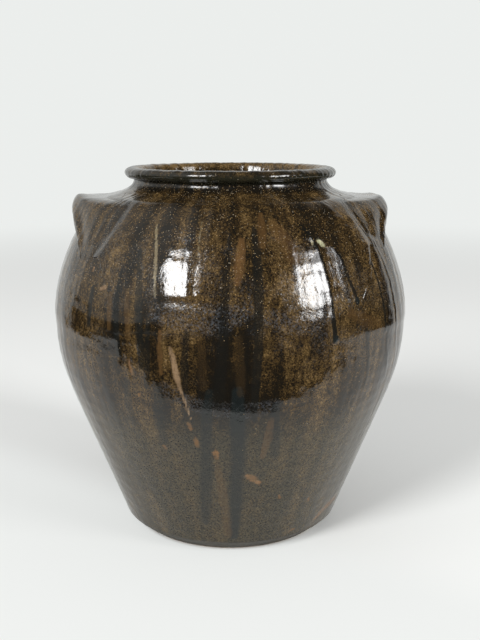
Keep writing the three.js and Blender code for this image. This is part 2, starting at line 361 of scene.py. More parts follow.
def vertex_values(mesh, **values):
    """Stores values or vectors at a mesh's points."""
    for label, given in values.items():
        given = np.asarray(given, np.float32)
        kind, key = ("FLOAT", "value") if given.ndim == 1 else ("FLOAT_VECTOR", "vector")
        mesh.attributes.new(label, kind, "POINT").data.foreach_set(key, given.ravel())


# The jar's outline

LINE_STEP = 0.0005
# The foot's hollow and the ring round it, the rolled rim, and the corner inside at the floor
HOLLOW_HEIGHT, RING_INNER, RING_FLAT = 0.0016, 0.023, 0.018
ROLL_TURNS, ROLL_SEAT, ROLL_RISE, ROLL_INWARD = (-90, 150), 0.001, 0.0009, 0.008
CORNER_WIDTH, CORNER_HEIGHT, CORNER_PULL = 0.026, 0.016, 0.005
# How softly the corners are rounded, and how softly and how far the belly seam's ledge is
CORNER_SOFTNESS, SEAM_SOFTNESS, SEAM_REACH = 0.0007, 0.0032, 0.014
# Where the foot leaves the ground, the heights and radius by which the wall is free to wobble, the
# height by which it is glazed, and the height of the bare clay underneath
OFF_GROUND, LOOSE_HEIGHT, LOOSE_RADIUS, GLAZED_HEIGHT, BARE_HEIGHT = 0.0002, 0.003, 0.02, 0.0025, 0.008
# How near a ring's points are along the outline, in its five stretches
STRETCH_STEPS = (
    lambda r, z: 0.0009 if z < 0.016 and r > 0.07 else (0.005 if z < 0.002 else 0.0031),
    0.0018,
    lambda r, z: 0.0008 if r > 0.082 and z > 0.335 else 0.0014,
    0.005,
    0.008,
)


def blend(start, end, share):
    return start * (1 - share) + end * share


def cubic(a, b, c, d, count):
    t = np.linspace(0, 1, count)[:, None]
    a, b, c, d = map(np.array, (a, b, c, d))
    return (1 - t) ** 3 * a + 3 * (1 - t) ** 2 * t * b + 3 * (1 - t) * t ** 2 * c + t ** 3 * d


def side_of(line):
    """Unit vectors to the right of each step of a line, which is outwards on the jar's wall."""
    along = np.gradient(line, axis=0)
    along /= np.linalg.norm(along, axis=1)[:, None] + 1e-12
    return np.stack([along[:, 1], -along[:, 0]], 1)


def run_along(line):
    """How far each point of a line is from its start."""
    return np.concatenate([[0], np.cumsum(np.linalg.norm(np.diff(line, axis=0), axis=1))])


def read_at(at, run, line):
    """What each column of a line is at some distances along it."""
    return np.stack([np.interp(at, run, column) for column in line.T], 1)


def spaced(line, step):
    """The line again, with a point about every step, where step is a length or a function."""
    gaps = np.linalg.norm(np.diff(line, axis=0), axis=1)
    middle = (line[1:] + line[:-1]) / 2
    wanted = np.array([step(*p) if callable(step) else step for p in middle])
    count = np.concatenate([[0], np.cumsum(gaps / wanted)])
    at = np.linspace(0, count[-1], max(2, round(count[-1])) + 1)
    return read_at(at, count, line)


def softened(line, reach):
    """The line in even, short steps, with its corners rounded over about the reach."""
    fine = spaced(line, LINE_STEP)
    half = int(3 * reach / LINE_STEP)
    weights = np.exp(-0.5 * (np.arange(-half, half + 1) * LINE_STEP / reach) ** 2)
    weights /= weights.sum()
    padded = np.concatenate([2 * fine[:1] - fine[half:0:-1], fine, 2 * fine[-1:] - fine[-2:-half - 2:-1]])
    return np.stack([np.convolve(padded[:, i], weights, "valid") for i in range(2)], 1)


def jar_line(s):
    """The jar's outline as radius and height, from the middle of its underside, up the outside,
    over the rim and down inside to the middle of its floor, cut into five stretches."""
    seam, shoulder_top = s.seam_height, s.collar_height
    foot_top, bevel = s.foot_radius + s.foot_bevel, s.foot_bevel_height
    belly, ledge = s.belly_radius - s.belly_ledge, s.belly_radius
    neck_top = shoulder_top + s.neck_height
    climb, fall = seam - bevel, shoulder_top - seam
    lower = cubic(
        (foot_top, bevel), (foot_top + 0.8 * (belly - foot_top), bevel + 0.67 * climb),
        (belly, bevel + 0.765 * climb), (belly, seam), 220)
    shoulder = cubic(
        (ledge, seam), (ledge, seam + 0.51 * fall),
        (s.collar_radius + 0.33 * (ledge - s.collar_radius), seam + 0.97 * fall),
        (s.collar_radius, shoulder_top), 160)
    shoulder = shoulder[shoulder[:, 1] > seam + 0.002]
    neck = cubic(
        (s.collar_radius, shoulder_top),
        (s.collar_radius - 0.38 * (s.collar_radius - s.neck_radius), shoulder_top + 0.12 * s.neck_height),
        (s.neck_radius, shoulder_top + 0.41 * s.neck_height), (s.neck_radius, neck_top), 40)
    rim_half = (JAR_HEIGHT - neck_top - ROLL_RISE) / 2
    turn = np.radians(np.linspace(*ROLL_TURNS, 60))
    roll_out = s.rim_radius - s.neck_radius - ROLL_SEAT
    roll = np.stack([
        s.neck_radius + ROLL_SEAT + np.where(np.cos(turn) > 0, roll_out, ROLL_INWARD) * np.cos(turn),
        JAR_HEIGHT - rim_half + rim_half * np.sin(turn)], 1)
    throat = s.neck_radius - s.wall
    shoulder_in = shoulder - s.wall * side_of(shoulder)
    lower_in = lower - s.wall * side_of(lower)
    inner_neck = cubic(
        (throat, neck_top + 0.001), (throat, shoulder_top + 0.41 * s.neck_height - 0.75 * s.wall),
        shoulder_in[-1] + (-0.009, 0.0012), shoulder_in[-1], 30)
    lower_in = lower_in[lower_in[:, 1] > s.floor + CORNER_HEIGHT][::-1]
    edge = lower_in[-1]
    bend = np.linspace(0, 1, 20)[:, None]
    bend = (1 - bend) ** 2 * edge + 2 * bend * (1 - bend) * (edge + (-CORNER_PULL, s.floor - edge[1])) \
        + bend ** 2 * np.array((edge[0] - CORNER_WIDTH, s.floor))
    under = [
        (0, HOLLOW_HEIGHT), (s.foot_radius - RING_INNER, HOLLOW_HEIGHT), (s.foot_radius - RING_FLAT, 0),
        (s.foot_radius, 0)]
    whole = np.concatenate([
        under, lower[:-2], shoulder, neck[1:], roll[1:], inner_neck, shoulder_in[-2::-1], lower_in[1:],
        bend[1:], [(0, s.floor)]])
    line, slack = softened(whole, CORNER_SOFTNESS), softened(whole, SEAM_SOFTNESS)
    line = blend(line, slack, np.exp(-((line[:, 1] - seam) / SEAM_REACH) ** 2)[:, None])
    line[0], line[-1] = (0, HOLLOW_HEIGHT), (0, s.floor)
    line[:, 1] = np.maximum(line[:, 1], 0)
    top = int(np.argmax(line[:, 1]))
    outside, inside = line[:top + 1], line[top:]
    out_seam = int(np.argmax(outside[:, 1] > seam + 0.0003))
    out_collar = int(np.argmax(outside[:, 1] > shoulder_top))
    under_neck = (inside[:, 1] < shoulder_in[-1][1]) & (inside[:, 0] > s.neck_radius + 0.01)
    in_collar = top + int(np.argmax(under_neck))
    in_seam = top + int(np.argmax(inside[:, 1] < seam))
    cuts = [0, out_seam, out_collar, in_collar, in_seam, len(line) - 1]
    out = side_of(line)
    stretches = []
    length = 0.0
    for first, last, step in zip(cuts[:-1], cuts[1:], STRETCH_STEPS):
        part = line[first:last + 1]
        reach, placed_run = run_along(part), run_along(spaced(part, step))
        placed_run *= reach[-1] / placed_run[-1]
        made = read_at(placed_run, reach, np.concatenate([part, out[first:last + 1]], 1))
        outer = 1.0 if last <= out_collar else 0.0
        stretches.append(dict(place=made[:, :2], out=made[:, 2:], along=placed_run + length, outer=outer))
        length += reach[-1]
    return stretches


def wall_radius(s):
    """A function that gives the radius of the outer wall at a height."""
    stretches = jar_line(s)
    line = np.concatenate([stretches[0]["place"], stretches[1]["place"][1:], stretches[2]["place"][1:]])
    top = int(np.argmax(line[:, 1] > s.collar_height + s.neck_height))
    line = line[:top]
    line = line[int(np.argmax(line[:, 0] > s.foot_radius - 0.001)):]
    order = np.argsort(line[:, 1])
    return lambda height: np.interp(height, line[order, 1], line[order, 0])


def outline_mesh(name, stretches):
    """The outline of one ring as a mesh of points, with what the turning tree reads at each."""
    place, out, along = (np.concatenate([st[key] for st in stretches]) for key in ("place", "out", "along"))
    outer = np.concatenate([np.full(len(st["place"]), st["outer"]) for st in stretches])
    radius, height = place.T
    loose = np.clip((height - OFF_GROUND) / LOOSE_HEIGHT, 0, 1) * np.clip(radius / LOOSE_RADIUS, 0, 1)
    glazed = np.clip((height - OFF_GROUND) / GLAZED_HEIGHT, 0, 1)
    glazed = np.where((radius < FOOT_RADIUS) & (height < BARE_HEIGHT), 0, glazed)
    mesh = bpy.data.meshes.new(name)
    mesh.from_pydata([(r, 0.0, z) for r, z in place], [], [])
    facing = np.stack([out[:, 0], 0 * out[:, 0], out[:, 1]], 1)
    vertex_values(mesh, out=facing, along=along, outer=outer, loose=loose, glazed=glazed)
    return mesh


# Geometry trees

def thrown_ring_tree():
    """Turns an outline about the upright axis, with throwing rings in a spiral and a slow wobble."""
    m, given = new_group("Geometry", "Thrown ring", {
        "Outline": ("Geometry", None),
        "Turns": ("Int", 576),
        "Ring Pitch": ("Float", 0.011),
        "Ring Depth": ("Float", 0.0001),
        "Wobble": ("Float", 0.0008),
    }, {"Ring": "Geometry"})
    outline, turns = given["Outline"], given["Turns"]
    rows = m.get("GeometryNodeAttributeDomainSize", {"Geometry": outline}, "Point Count")
    across = turns + 1
    grid = m.get("GeometryNodeMeshGrid", {"Vertices X": rows, "Vertices Y": across}, "Mesh")
    index = m.get("GeometryNodeInputIndex")
    row = m.math("FLOOR", index / across)
    angle = (index - row * across) / turns * math.tau

    def turned(vector):
        return m.get("ShaderNodeVectorRotate", {
            "Vector": m.sampled(outline, vector, row), "Angle": angle}, rotation_type="Z_AXIS")

    place, out = turned(m.position()), turned(m.stored("out", "FLOAT_VECTOR"))
    along, outer, loose, glazed = (
        m.sampled(outline, m.stored(label), row) for label in ("along", "outer", "loose", "glazed"))
    drift = m.noise(place, 0.07, 1) - 0.5
    spiral = m.math("SINE", along / given["Ring Pitch"] * math.tau + angle + drift * 9.0)
    ridge = spiral * m.noise(place, 0.05, 1, seed=3.0) * given["Ring Depth"]
    slow = (m.noise(place, 0.16, 1, seed=7.0) - 0.5) * given["Wobble"]
    geometry = m.change(grid, "SetPosition", {"Position": place + out * ((ridge + slow) * loose)})
    geometry = m.store(geometry, out=out, outer=outer, loose=loose, glazed=glazed)
    geometry = m.change(geometry, "FlipFaces")
    geometry = m.change(geometry, "MergeByDistance", {"Distance": 1e-5})
    return end_group(m, {"Ring": geometry})


def marks_tree():
    """How far a place lies inside the nearest of some marks, with that mark's tone and strength."""
    m, given = new_group("Geometry", "Nearest mark", {
        "Marks": ("Geometry", None),
        "Place": ("Vector", None),
    }, {"Cover": "Vector"})
    marks, place = given["Marks"], given["Place"]
    nearest = m.get("GeometryNodeSampleNearest", {"Geometry": marks, "Sample Position": place})
    middle, half_width, tone, strength = (m.sampled(marks, source, nearest) for source in (
        m.position(), m.stored("half_width"), m.stored("tone"), m.stored("strength")))
    cover = m.clamp(1.5 - m.length(place - middle) / half_width)
    return end_group(m, {"Cover": m.join(cover, tone, strength)})


def glaze_coat_tree():
    """Lays the glaze on a ring or lug: broad runs, unevenness and the marks."""
    m, given = new_group("Geometry", "Glaze coat", {
        "Body": ("Geometry", None),
        **{label: ("Object", None) for label in MARKS},
        "Run Width": ("Float", 0.016),
        "Run Height": ("Float", 0.0003),
        "Hand Relief": ("Float", 0.0004),
        "Seed": ("Float", 0.0),
        "Finish": ("Material", None),
    }, {"Glazed": "Geometry"})
    place = m.position()
    across, deep, z, _ = m.around_axis(place)
    drift = (m.noise(place, 0.04, 1, seed=2.0) - 0.5) * 0.012
    broad = m.join(across + drift, deep + drift, z * 0.13)
    thick = m.step(m.noise(broad, given["Run Width"], 1.5, seed=given["Seed"]), 0.36, 0.68)
    fine = m.noise(m.join(across + drift, deep + drift, z * 0.3), 0.006, 1, seed=5.0) - 0.5
    outer, loose = m.stored("outer"), m.stored("loose")
    nearest_mark = shared_group("Nearest mark", marks_tree)
    covers = {}
    for label, (stored_as, _) in MARKS.items():
        guide = m.get("GeometryNodeObjectInfo", {"Object": given[label]}, "Geometry")
        found = m.get("GeometryNodeGroup", {"Marks": guide, "Place": place}, node_tree=nearest_mark)
        covers[stored_as] = found * m.join(outer, 1.0, 1.0)
    run, _, run_strength = m.split(covers["thick_run"])
    bare, _, bare_strength = m.split(covers["thin_place"])
    lift = (thick - 0.5 + fine * 0.8) * given["Run Height"] * m.step(z, 0.08, 0.18, 0.3, 1.0)
    lift += (m.noise(place * (0.4, 0.4, 1.0), 0.024, 2, seed=21.0) - 0.5) * given["Hand Relief"]
    lift += m.step(run, 0.0, 1.0) * run_strength * given["Run Height"] * 0.9
    lift -= m.step(bare, 0.2, 0.8) * bare_strength * given["Run Height"] * 0.5
    out = m.stored("out", "FLOAT_VECTOR")
    geometry = m.change(given["Body"], "SetPosition", {"Offset": out * (lift * loose)})
    geometry = m.store(geometry, thickness=thick, **covers)
    geometry = m.change(geometry, "SetShadeSmooth", {"Shade Smooth": True})
    sharp = m.math("GREATER_THAN", m.get("GeometryNodeInputMeshEdgeAngle", output="Unsigned Angle"), 1.0)
    geometry = m.change(
        geometry, "SetShadeSmooth", {"Selection": sharp, "Shade Smooth": False}, domain="EDGE")
    geometry = m.change(geometry, "RealizeInstances")
    geometry = m.change(geometry, "SetMaterial", {"Material": given["Finish"]})
    return end_group(m, {"Glazed": geometry})


def run_tree(mesh, tree, inputs):
    """Puts a mesh through a geometry tree, with the tree's inputs by name, and gives a plain mesh."""
    worked = placed(mesh.name, mesh)
    modifier = worked.modifiers.new(tree.name, "NODES")
    modifier.node_group = tree
    for item in tree.interface.items_tree:
        if item.item_type == "SOCKET" and item.in_out == "INPUT" and item.name in inputs:
            modifier[item.identifier] = inputs[item.name]
    graph = bpy.context.evaluated_depsgraph_get()
    made = bpy.data.meshes.new_from_object(
        worked.evaluated_get(graph), preserve_all_data_layers=True, depsgraph=graph)
    made.name = mesh.name
    bpy.data.objects.remove(worked)
    bpy.data.meshes.remove(mesh)
    return made


def finished_piece(mesh, name, node, slot):
    """An object that stands for a CAD node and rides on the jar's one body; the slot is not used."""
    mesh.name = name
    piece = placed(name, mesh)
    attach(piece, "root")
    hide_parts(node)


def mark_points(name, marks, radius_at):
    """A guide object with a point for each millimetre of each mark's path on the outer wall."""
    def on_wall(path):
        bearing, height = path[:, 0], path[:, 1]
        radius = radius_at(height)
        return np.stack([radius * np.sin(bearing), -radius * np.cos(bearing), height], 1)

    found = []
    for tone, strength, path in marks:
        bearing, height, half = np.array(path, float).T
        path = np.stack([np.radians(bearing), height / 1000, half / 1000], 1)
        run = run_along(on_wall(path))
        at = np.linspace(0, run[-1], max(2, int(run[-1] / MARK_STEP)))
        path = read_at(at, run, path)
        same = np.ones(len(at))
        found.append(np.column_stack([on_wall(path), path[:, 2], tone * same, strength * same]))
    found = np.concatenate(found)
    mesh = bpy.data.meshes.new(name)
    mesh.from_pydata(found[:, :3].tolist(), [], [])
    vertex_values(mesh, half_width=found[:, 3], tone=found[:, 4], strength=found[:, 5])
    return placed(name, mesh)


# Lugs

# Sections of a lug's solid and points round each, and the part of each section that the sheet takes
LUG_ROWS, LUG_AROUND = 150, 110
BODY_PART = slice(11, 89)
# Rows of the sheet on either side of its middle, the share of them on the lug, and the points of a
# row above the lug and below it
SHEET_HALF, BODY_SHARE, POINTS_ABOVE, POINTS_BELOW = 132, 0.72, 30, 22
# Height of the sheet's top edge, how far its low edge is under the lug, and that edge's height at
# most, which falls towards the sheet's ends
SHEET_TOP, SHEET_BELOW, SHEET_LOW, SHEET_FALL = 0.3365, 0.016, 0.30, 0.073
# How wide the smear between lug and wall is on top and underneath, and over what heights it ends
SMEAR_TOP, SMEAR_UNDER = 0.017, 0.007
SMEAR_END, TIP_FADE = (0.325, 0.3355), 0.011
# Over what heights the bank of clay beside a lug comes and goes, and its width inwards and outwards
BANK_LOW, BANK_HIGH, BANK_IN, BANK_OUT = (0.236, 0.262), (0.320, 0.334), 0.012, 0.030
# Rounds of easing past a lug's tips before the first projection and before each, the projections
# onto the smeared shape, and the rounds of smoothing after them
FIRST_EASING, EASING, PROJECTIONS, SMOOTHING = 60, 14, 8, 14
# How far along the sheet the easing comes in, and the longest move of a point in one projection
EASED_FROM, LONGEST_MOVE = (0.55, 0.63), 0.004
# How far the sheet lies over the wall, how far its edge is under it, and its inner side's depth
SHEET_LIFT, EDGE_DEPTH, INNER_DEPTH = 0.00005, 0.00025, 0.004


def closed_curve(points, count):
    """Points along closed centripetal curves, one curve for each row of given points."""
    total = points.shape[1]
    per = count // total
    made = []
    for k in range(total):
        p = [points[:, (k + j - 1) % total] for j in range(4)]
        gaps = [np.maximum(np.linalg.norm(b - a, axis=1), 1e-6)[:, None] ** 0.5 for a, b in zip(p, p[1:])]
        t = [0 * gaps[0], gaps[0], gaps[0] + gaps[1], gaps[0] + gaps[1] + gaps[2]]
        for i in range(per):
            u = t[1] + (i / per) * gaps[1]

            def between(a, b, first, last):
                return ((last - u) * a + (u - first) * b) / (last - first)

            a1, a2, a3 = (between(p[j], p[j + 1], t[j], t[j + 1]) for j in range(3))
            b1, b2 = between(a1, a2, t[0], t[2]), between(a2, a3, t[1], t[3])
            made.append(between(b1, b2, t[1], t[2]))
    return np.stack(made, 1)


def lug_sections(lug, s, radius_at, place):
    """Sections of a slab lug as bearing, height and radius, one for each place from tip to tip."""
    top = s.collar_height
    far = np.abs(place)
    full = 1 - 0.85 * far ** lug["thinning"]
    sink = 0.0075 * far ** 15
    lip_turn = np.radians(lug["tip_angle"] * place)
    lip_z = top - lug["lip_drop"] - (lug["tip_drop"] - lug["lip_drop"]) * far ** lug["lip_droop"]
    near_r = radius_at(top - lug["lip_drop"]) + lug["lip_reach"]
    lip_r = near_r + (radius_at(lip_z) + lug["tip_stand"] - near_r) * far ** 4
    top_z, low_z = lip_z + lug["lip_upper"] * full, lip_z - lug["lip_lower"] * full
    under_z = low_z - (0.003 + 0.008 * far ** 2) * full
    root_z = np.minimum(top_z + 0.001 * (1 - far), top - lug["root_drop"])
    bank = np.interp(root_z, lug["bank_heights"], lug["bank_bearings"]) - 2
    root_turn = np.sign(place) * np.radians(bank) * np.sin(math.pi / 2 * np.clip(far / 0.3, 0, 1)) ** 1.3
    root_turn += (lip_turn * 1.12 - root_turn) * far ** 12
    top_stand = lip_r - 0.005 * full - radius_at(top_z)
    low_stand = lip_r - 0.003 * full - radius_at(low_z)

    def point(turn, height, stand):
        return np.stack([turn, height, radius_at(height) + stand - sink], 1)

    def crown(share):
        return point(
            root_turn + (lip_turn - root_turn) * share, root_z + (top_z - root_z) * share,
            top_stand * share ** 1.6 + 0.0012 * full * share)

    controls = np.stack([
        point(root_turn, root_z, -0.0005),
        point(root_turn, root_z, -0.0005),
        crown(0.35),
        crown(0.7),
        point(lip_turn, top_z, top_stand),
        point(lip_turn, lip_z, lip_r - radius_at(lip_z)),
        point(lip_turn, low_z, low_stand),
        point(lip_turn, (low_z + under_z) / 2 + 0.003 * full, low_stand / 2),
        point(lip_turn, under_z, -0.0005),
        point(lip_turn, under_z, -0.0005),
    ], 1)
    controls = set_round(controls, 0)
    for end, near, beside in ((0, 1, 2), (9, 8, 7)):
        way = controls[:, near] - controls[:, beside]
        way /= np.linalg.norm(way, axis=1)[:, None]
        inward = controls[:, near] * (-1, -1, 0)
        inward /= np.hypot(controls[:, near, 0], controls[:, near, 1])[:, None]
        controls[:, end] = (
            controls[:, near] + way * (0.018 * full)[:, None] + inward * (0.004 * full)[:, None])
    return set_round(closed_curve(controls, LUG_AROUND), 0, back=True)


def set_round(places, bearing, back=False):
    """Places from turn, height and radius to x, y and z about a bearing, or back."""
    if back:
        turn = np.arctan2(places[..., 1], places[..., 0])
        turn = (turn - bearing + math.pi) % math.tau - math.pi
        return np.stack([turn, places[..., 2], np.hypot(places[..., 0], places[..., 1])], -1)
    turn, height, radius = np.moveaxis(places, -1, 0)
    return np.stack([radius * np.cos(turn + bearing), radius * np.sin(turn + bearing), height], -1)


def loft_faces(rows, around):
    """Faces of closed loops, joined one to the next and shut at both ends."""
    faces = []
    for row in range(rows):
        for i in range(around):
            a, b = row * around + i, row * around + (i + 1) % around
            faces.append((a, b, b + around, a + around))
    faces.append(tuple(range(around))[::-1])
    faces.append(tuple(rows * around + i for i in range(around)))
    return faces


def rise(value, low, high):
    t = np.clip((value - low) / (high - low), 0, 1)
    return t * t * (3 - 2 * t)


class Skin:
    """A skin to measure places against."""

    def __init__(self, points, faces):
        self.tree = BVHTree.FromPolygons([tuple(p) for p in points], faces)

    def read(self, places):
        """The gap to each place, which is less than nothing inside, and the nearest facing and face."""
        found = [self.tree.find_nearest(tuple(p)) for p in places]
        spot, facing = (np.array([f[i] for f in found]) for i in (0, 1))
        gap = np.linalg.norm(places - spot, axis=1)
        gap *= np.where(np.einsum("ij,ij->i", places - spot, facing) < 0, -1, 1)
        return gap, facing, np.array([f[2] for f in found])


def bank_rise(lug, places):
    """How high the bank of clay beside a lug, left by the thumb that smeared it, stands on the wall."""
    turn, height, radius = set_round(places, lug["bearing"], back=True).T
    middle = np.radians(np.interp(height, lug["bank_heights"], lug["bank_bearings"]))
    aside = (np.abs(turn) - middle) * radius
    aside /= np.where(aside < 0, BANK_IN, BANK_OUT)
    ends = rise(height, *BANK_LOW) * (1 - rise(height, *BANK_HIGH))
    return lug["bank"] * (1 - np.clip(aside, -1, 1) ** 2) ** 2 * ends


def smeared(places, lug, body, wall):
    """Level of places over wall and lug smeared into one, its facing, how deep the smear fills the
    corner there, and the lug's share."""
    wall_gap, wall_facing, _ = wall.read(places)
    wall_gap -= bank_rise(lug, places)
    body_gap, body_facing, face = body.read(places)
    ring = (face % LUG_AROUND) / LUG_AROUND * 10
    under = rise(ring, 5.4, 6.6) * (1 - rise(ring, 9.2, 9.9))
    smear = SMEAR_TOP + (SMEAR_UNDER - SMEAR_TOP) * under
    smear *= rise(1 - np.einsum("ij,ij->i", wall_facing, body_facing), 0.03, 0.6)
    tip = lug["tip_height"]
    smear *= (1 - 0.9 * rise(places[:, 2], *SMEAR_END)) * rise(places[:, 2], tip, tip + TIP_FADE)
    smear = np.maximum(smear, 1e-5)
    overlap = np.maximum(smear - np.abs(wall_gap - body_gap), 0)
    share = np.clip(0.5 + 0.5 * (wall_gap - body_gap) / smear, 0, 1)
    facing = blend(wall_facing, body_facing, share[:, None])
    facing /= np.linalg.norm(facing, axis=1)[:, None] + 1e-9
    return np.minimum(wall_gap, body_gap) - overlap ** 2 / (4 * smear), facing, overlap / smear, share


def sheet_rows(lug, s, radius_at):
    """Rows of turn, height and radius over a lug and the wall round it, from its top edge on the
    collar, out over the lug and under it, to its low edge on the wall."""
    t = np.linspace(-1, 1, 2 * SHEET_HALF + 1)
    place = np.sin(math.pi / 2 * np.clip(t / BODY_SHARE, -1, 1))
    body = lug_sections(lug, s, radius_at, place)[:, BODY_PART]

    def on_wall(start, end, count):
        made = blend(start[:, None], end[:, None], np.linspace(0, 1, count)[None, :, None])
        return np.dstack([made, radius_at(made[..., 1])])

    low_z = np.minimum(body[:, -1, 1] - SHEET_BELOW, SHEET_LOW - SHEET_FALL * np.abs(t))
    top_edge = np.stack([np.radians(lug["edge_angle"]) * t, np.full(len(t), SHEET_TOP)], 1)
    low_edge = np.stack([np.radians(lug["low_angle"]) * t, low_z], 1)
    above = on_wall(top_edge, body[:, 0, :2], POINTS_ABOVE)[:, :-1]
    below = on_wall(body[:, -1, :2], low_edge, POINTS_BELOW)[:, 1:]
    rows = np.concatenate([above, body, below], 1)
    outermost = on_wall(top_edge, low_edge, rows.shape[1])
    beyond = rise(np.abs(t), BODY_SHARE, 1)[:, None]
    stand = (rows[..., 2] - radius_at(rows[..., 1])) * (1 - beyond)
    places = blend(rows[..., :2], outermost[..., :2], beyond[..., None])
    return np.dstack([places, radius_at(places[..., 1]) + stand])


def evened(rows):
    """The rows with their points moved along them, most of the way to even steps."""
    made = np.empty_like(rows)
    index = np.linspace(0, 1, rows.shape[1])
    for old, new in zip(rows, made):
        run = run_along(old)
        new[:] = read_at(index, run / run[-1] * 0.8 + index * 0.2, old)
    return made


def to_edge(rows):
    """Distance along rows and across them to the sheet's nearest edge."""
    gaps = []
    for axis in (0, 1):
        step = np.linalg.norm(np.diff(rows, axis=axis), axis=2)
        run = np.cumsum(step, axis=axis)
        lead = np.zeros_like(run[:1] if axis == 0 else run[:, :1])
        run = np.concatenate([lead, run], axis)
        whole = run[-1:] if axis == 0 else run[:, -1:]
        gaps += [run, whole - run]
    return np.min(gaps, axis=0)


def relaxed(rows, ease):
    """Moves each inner point towards the middle of its neighbours."""
    around = (rows[:-2, 1:-1] + rows[2:, 1:-1] + rows[1:-1, :-2] + rows[1:-1, 2:]) / 4
    rows[1:-1, 1:-1] += (around - rows[1:-1, 1:-1]) * ease


def lug_sheet(lug, s, radius_at, wall):
    """A lug with the smear that joins it to the wall, which thins out to nothing at its edge: points
    in closed loops, their faces, and how pooled and how much of the lug each point is."""
    lug = dict(lug, tip_height=s.collar_height - lug["tip_drop"])
    place = np.sin(np.pi * (np.arange(LUG_ROWS + 1) / LUG_ROWS - 0.5))
    solid = set_round(lug_sections(lug, s, radius_at, place), lug["bearing"])
    body = Skin(solid.reshape(-1, 3), loft_faces(LUG_ROWS, LUG_AROUND))
    rows = evened(set_round(sheet_rows(lug, s, radius_at), lug["bearing"]))
    shape = rows.shape
    beyond = 0.5 * rise(np.abs(np.linspace(-1, 1, shape[0])), *EASED_FROM)[1:-1, None, None]
    for _ in range(FIRST_EASING):
        relaxed(rows, beyond)
    points = rows.reshape(-1, 3)
    for _ in range(PROJECTIONS):
        for _ in range(EASING):
            relaxed(points.reshape(shape), beyond)
        level, facing, pooled, share = smeared(points, lug, body, wall)
        points = points - facing * (np.clip(level, -LONGEST_MOVE, LONGEST_MOVE) * 0.9)[:, None]
    rows, pooled, share = points.reshape(shape), pooled.reshape(shape[:2]), share.reshape(shape[:2])
    ease = np.clip(pooled * 4, 0.12, 1)[1:-1, 1:-1, None] * 0.5
    edge = to_edge(rows)
    ease = ease * rise(edge, 0.002, 0.008)[1:-1, 1:-1, None]
    for _ in range(SMOOTHING):
        relaxed(rows, ease)
    lift = SHEET_LIFT * rise(edge, 0.002, 0.006) - EDGE_DEPTH * (1 - rise(edge, 0, 0.0035))
    rows = rows + facing.reshape(shape) * lift[..., None]
    ends = sheet_rows(lug, s, radius_at)[:, [-1, 0]]
    step = np.linspace(0, 1, 7)[None, 1:-1, None]
    inner = blend(ends[:, :1], ends[:, 1:], step)
    inner[..., 2] = radius_at(inner[..., 1]) - INNER_DEPTH
    inner = set_round(inner, lug["bearing"])
    loops = np.concatenate([rows, inner], 1)
    pad = ((0, 0), (0, inner.shape[1]))
    pooled, share, skin = (np.pad(v, pad).ravel() for v in (pooled, share, np.ones(shape[:2])))
    return loops.reshape(-1, 3), loft_faces(shape[0] - 1, loops.shape[1]), pooled, share, skin


def lug_mesh(name, lug, s, radius_at, wall):
    """The lug's mesh, with what the glaze tree reads at each point."""
    points, faces, pooled, share, skin = lug_sheet(lug, s, radius_at, wall)
    mesh = bpy.data.meshes.new(name)
    mesh.from_pydata([tuple(p) for p in points], [], faces)
    facing = np.zeros(len(points) * 3, np.float32)
    mesh.vertex_normals.foreach_get("vector", facing)
    vertex_values(
        mesh, out=facing.reshape(-1, 3), outer=1 - 0.7 * share * skin, loose=skin,
        glazed=np.ones(len(points)), pooled=pooled, handle=share * skin)
    return mesh


# Shader groups, shared by the finishes

def place_group():
    """Where a point is on the jar: its place spread flat round the belly, its height and its radius."""
    m, given = new_group("Shader", "Place on the jar", {
        "Object Place": ("Vector", None),
        "Stretch": ("Float", 0.1),
    }, {"Spread": "Vector", "Height": "Float", "Radius": "Float"})
    across, deep, height, radius = m.around_axis(given["Object Place"])
    drift = (m.noise(given["Object Place"], 0.035, 1) - 0.5) * 0.010
    spread = m.join(across + drift, deep + drift, height * given["Stretch"])
    return end_group(m, {"Spread": spread, "Height": height, "Radius": radius})


def specks_group():
    """Small crystals in the glaze: a mask of round specks that are picked at random, and a tint."""
    m, given = new_group("Shader", "Crystal specks", {
        "Object Place": ("Vector", None),
        "Spacing": ("Float", 0.0022),
        "Size": ("Float", 0.3),
        "Share": ("Float", 0.3),
    }, {"Mask": "Float", "Tint": "Float"})
    distance, (chance, size, tint) = m.cells(given["Object Place"], given["Spacing"])
    mask = m.step(distance / (given["Size"] * (0.45 + size * 0.75)), 1.15, 0.75)
    return end_group(m, {"Mask": mask * m.math("LESS_THAN", chance, given["Share"]), "Tint": tint})


def skin_group():
    """The glaze's skin as a height: a slow orange peel, a finer pebble and open pinholes."""
    m, given = new_group("Shader", "Glaze skin", {
        "Object Place": ("Vector", None),
        "Peel": ("Float", 1.0),
        "Pebble": ("Float", 1.0),
        "Pits": ("Float", 1.0),
    }, {"Height": "Float"})
    place = given["Object Place"]
    peel = (m.noise(place, 0.009, 2) - 0.5) * given["Peel"]
    pebble = (m.noise(place, 0.0022, 2, seed=4.0) - 0.5) * given["Pebble"]
    grain = (m.noise(place, 0.0009, 2, seed=9.0) - 0.5) * given["Pebble"] * 0.5
    distance, (chance, size, _) = m.cells(place, 0.0028)
    pit = m.step(distance / (0.15 + size * 0.25), 1.0, 0.3)
    pits = pit * m.math("LESS_THAN", chance, 0.3) * given["Pits"] * 0.35
    return end_group(m, {"Height": peel + pebble + grain - pits})


SHADER_GROUPS = {"Place on the jar": place_group, "Crystal specks": specks_group, "Glaze skin": skin_group}
# Heights between which each band of the glaze comes in
GLAZE_BANDS = dict(
    rim=(0.3425, 0.3450), groove=(0.3350, 0.3385), under_rim=(0.3465, 0.3450), collar=(0.329, 0.331),
    lip=(0.3485, 0.3535), foot=(0.0155, 0.0115), low=(0.165, 0.115), upper=(0.215, 0.28),
    high=(0.27, 0.31), bloom=(0.16, 0.24), below_neck=(0.325, 0.29))
